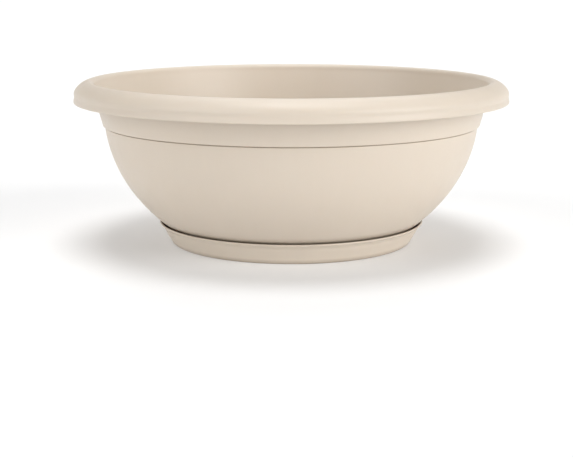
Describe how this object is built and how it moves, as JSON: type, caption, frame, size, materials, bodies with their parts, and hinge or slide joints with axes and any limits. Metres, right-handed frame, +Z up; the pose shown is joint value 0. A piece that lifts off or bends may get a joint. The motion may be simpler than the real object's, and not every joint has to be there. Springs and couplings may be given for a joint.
{
  "type": "bowl planter",
  "caption": "Round moulded plastic bowl planter with a rolled rim, standing in a matching saucer that clips under its foot ring.",
  "frame": {"origin": "centre of the saucer's flat underside, where the planter stands", "axes": "+Z up along the axis the pot and saucer are turned about, +X to the right as seen from the front, +Y away from the front"},
  "size_m": [0.4, 0.4, 0.1506],
  "materials": {
    "pot_plastic": "satin moulded polypropylene, pale sand beige, dyed through",
    "saucer_plastic": "satin moulded polypropylene, pale sand beige, dyed through"
  },
  "bodies": {
    "saucer": {"saucer": "saucer_plastic"},
    "pot": {"pot": "pot_plastic"}
  },
  "joints": [
    {"name": "pot_lift", "type": "slide", "parent": "saucer", "child": "pot", "axis": [0, 0, 1], "range_m": [0, 0.055]}
  ]
}
